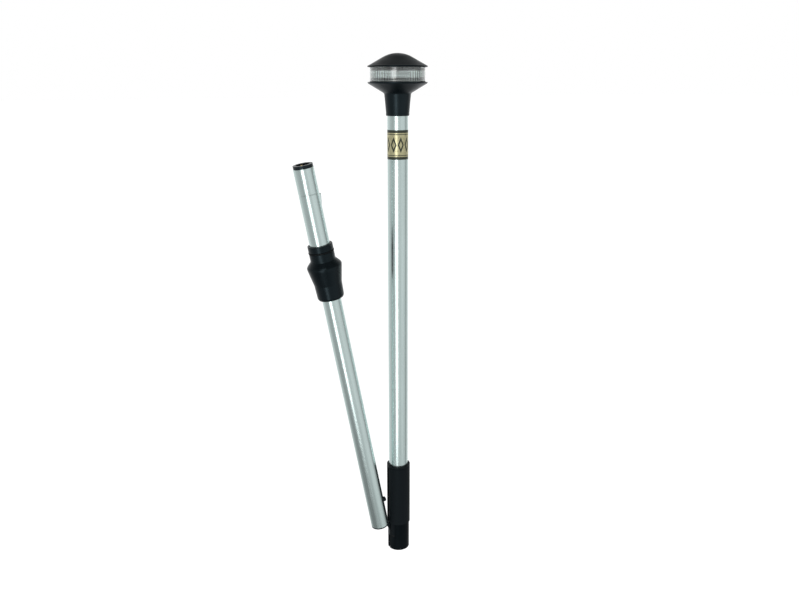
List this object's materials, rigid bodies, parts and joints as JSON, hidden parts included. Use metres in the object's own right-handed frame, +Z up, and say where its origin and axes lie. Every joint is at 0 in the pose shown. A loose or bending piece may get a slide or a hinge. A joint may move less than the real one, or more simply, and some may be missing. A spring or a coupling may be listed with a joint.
{
  "type": "folding pole navigation light",
  "caption": "Plug-in all-round white navigation light on a pole that folds in half at a pinned knuckle, with a sliding lock sleeve and a keyed plug with a locking collar.",
  "frame": {"origin": "on the upper tube's axis, at the middle of the folded light's height, where a stowage clip grips the bare tube", "axes": "+Z up along the upper tube towards the light head; the lower pole is folded up on the -X side; the fold's pin lies along Y"},
  "size_m": [0.1716, 0.072, 0.659],
  "materials": {
    "black_plastic": "satin moulded glass-filled nylon, fine spark-eroded texture",
    "lens_clear": "clear fluted polycarbonate",
    "bulb_glass": "clear thin glass",
    "holder_plastic": "moulded, matt",
    "aluminium_tube": "satin anodised, drawn along its length",
    "gold_foil": "metallised foil film, plain bands",
    "black_rubber": "matt",
    "stainless": "bright drawn stainless steel",
    "black_steel": "drawn steel pin, chemically blackened",
    "brass": "bright turned brass",
    "tungsten": "drawn tungsten wire",
    "wire_insulation": "smooth PVC insulation"
  },
  "bodies": {
    "upper_pole": {"top_cap": "black_plastic", "lens": "lens_clear", "lens_gasket": "black_rubber", "head_base": "black_plastic", "bulb_holder": "holder_plastic", "bulb_base": "brass", "bulb_contacts": "brass", "bulb_glass": "bulb_glass", "bulb_filament": "tungsten", "upper_tube": "aluminium_tube", "foil_label": "gold_foil", "upper_wires": "wire_insulation", "hinge_knuckle": "black_plastic", "hinge_pin": "black_steel", "knuckle_ring": "black_rubber"},
    "lock_sleeve": {"lock_sleeve": "black_plastic"},
    "lower_pole": {"lower_tube": "aluminium_tube", "hinge_end": "black_plastic", "button_spring": "stainless", "plug_ferrule": "aluminium_tube", "plug_key": "aluminium_tube", "plug_body": "black_plastic", "plug_contacts": "brass", "lower_wires": "wire_insulation", "collar_retainer": "stainless"},
    "snap_button": {"snap_button": "black_plastic"},
    "lock_collar": {"lock_collar": "black_plastic", "collar_seal": "black_rubber"}
  },
  "joints": [
    {"name": "fold", "type": "hinge", "parent": "upper_pole", "child": "lower_pole", "pos_m": [-0.01225, 0, -0.3089], "axis": [0, -1, 0], "range_deg": [-2.5, 169.05]},
    {"name": "sleeve_slide", "type": "slide", "parent": "upper_pole", "child": "lock_sleeve", "axis": [0, 0, -1], "range_m": [0, 0.0872]},
    {"name": "button_press", "type": "slide", "parent": "lower_pole", "child": "snap_button", "axis": [-0.9818, 0, -0.19], "range_m": [0, 0.0034], "stiffness_N_per_m": 500, "springref_m": -0.003, "deforming": ["button_spring"]},
    {"name": "collar_spin", "type": "hinge", "parent": "lower_pole", "child": "lock_collar", "pos_m": [-0.02866, 0, -0.28855], "axis": [-0.19, 0, 0.9818], "continuous": true}
  ]
}
